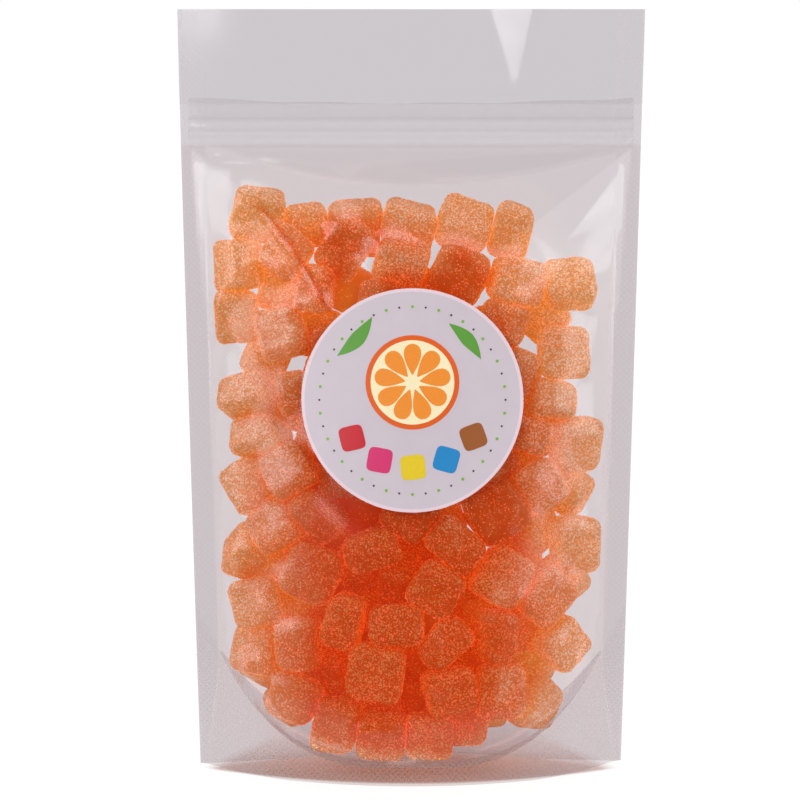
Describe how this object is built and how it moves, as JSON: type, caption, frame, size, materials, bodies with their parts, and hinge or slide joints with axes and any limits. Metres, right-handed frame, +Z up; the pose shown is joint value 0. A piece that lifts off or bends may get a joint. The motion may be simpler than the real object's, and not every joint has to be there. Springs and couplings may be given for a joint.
{
  "type": "bag of chewy candy",
  "caption": "Clear stand-up pouch with a press-to-close strip and a round label, filled with sugared orange gummy cubes.",
  "frame": {"origin": "on the floor, in the middle of the pouch's footprint, halfway between its front and its back", "axes": "+Z up the pouch; the front with the label faces -Y; +X runs along the width, to the right as seen from the front"},
  "size_m": [0.16, 0.0564, 0.266],
  "materials": {
    "pouch_film": "clear glossy laminated film, faintly grey",
    "zip_plastic": "milky clear extruded strip",
    "label_paper": "coated sticker paper, satin",
    "gummy": "soft translucent orange gel, sanded with sugar",
    "sugar": "white sugar crystals"
  },
  "bodies": {
    "root": {"pouch": "pouch_film", "zip_strip": "zip_plastic", "label": "label_paper"}
  },
  "joints": []
}
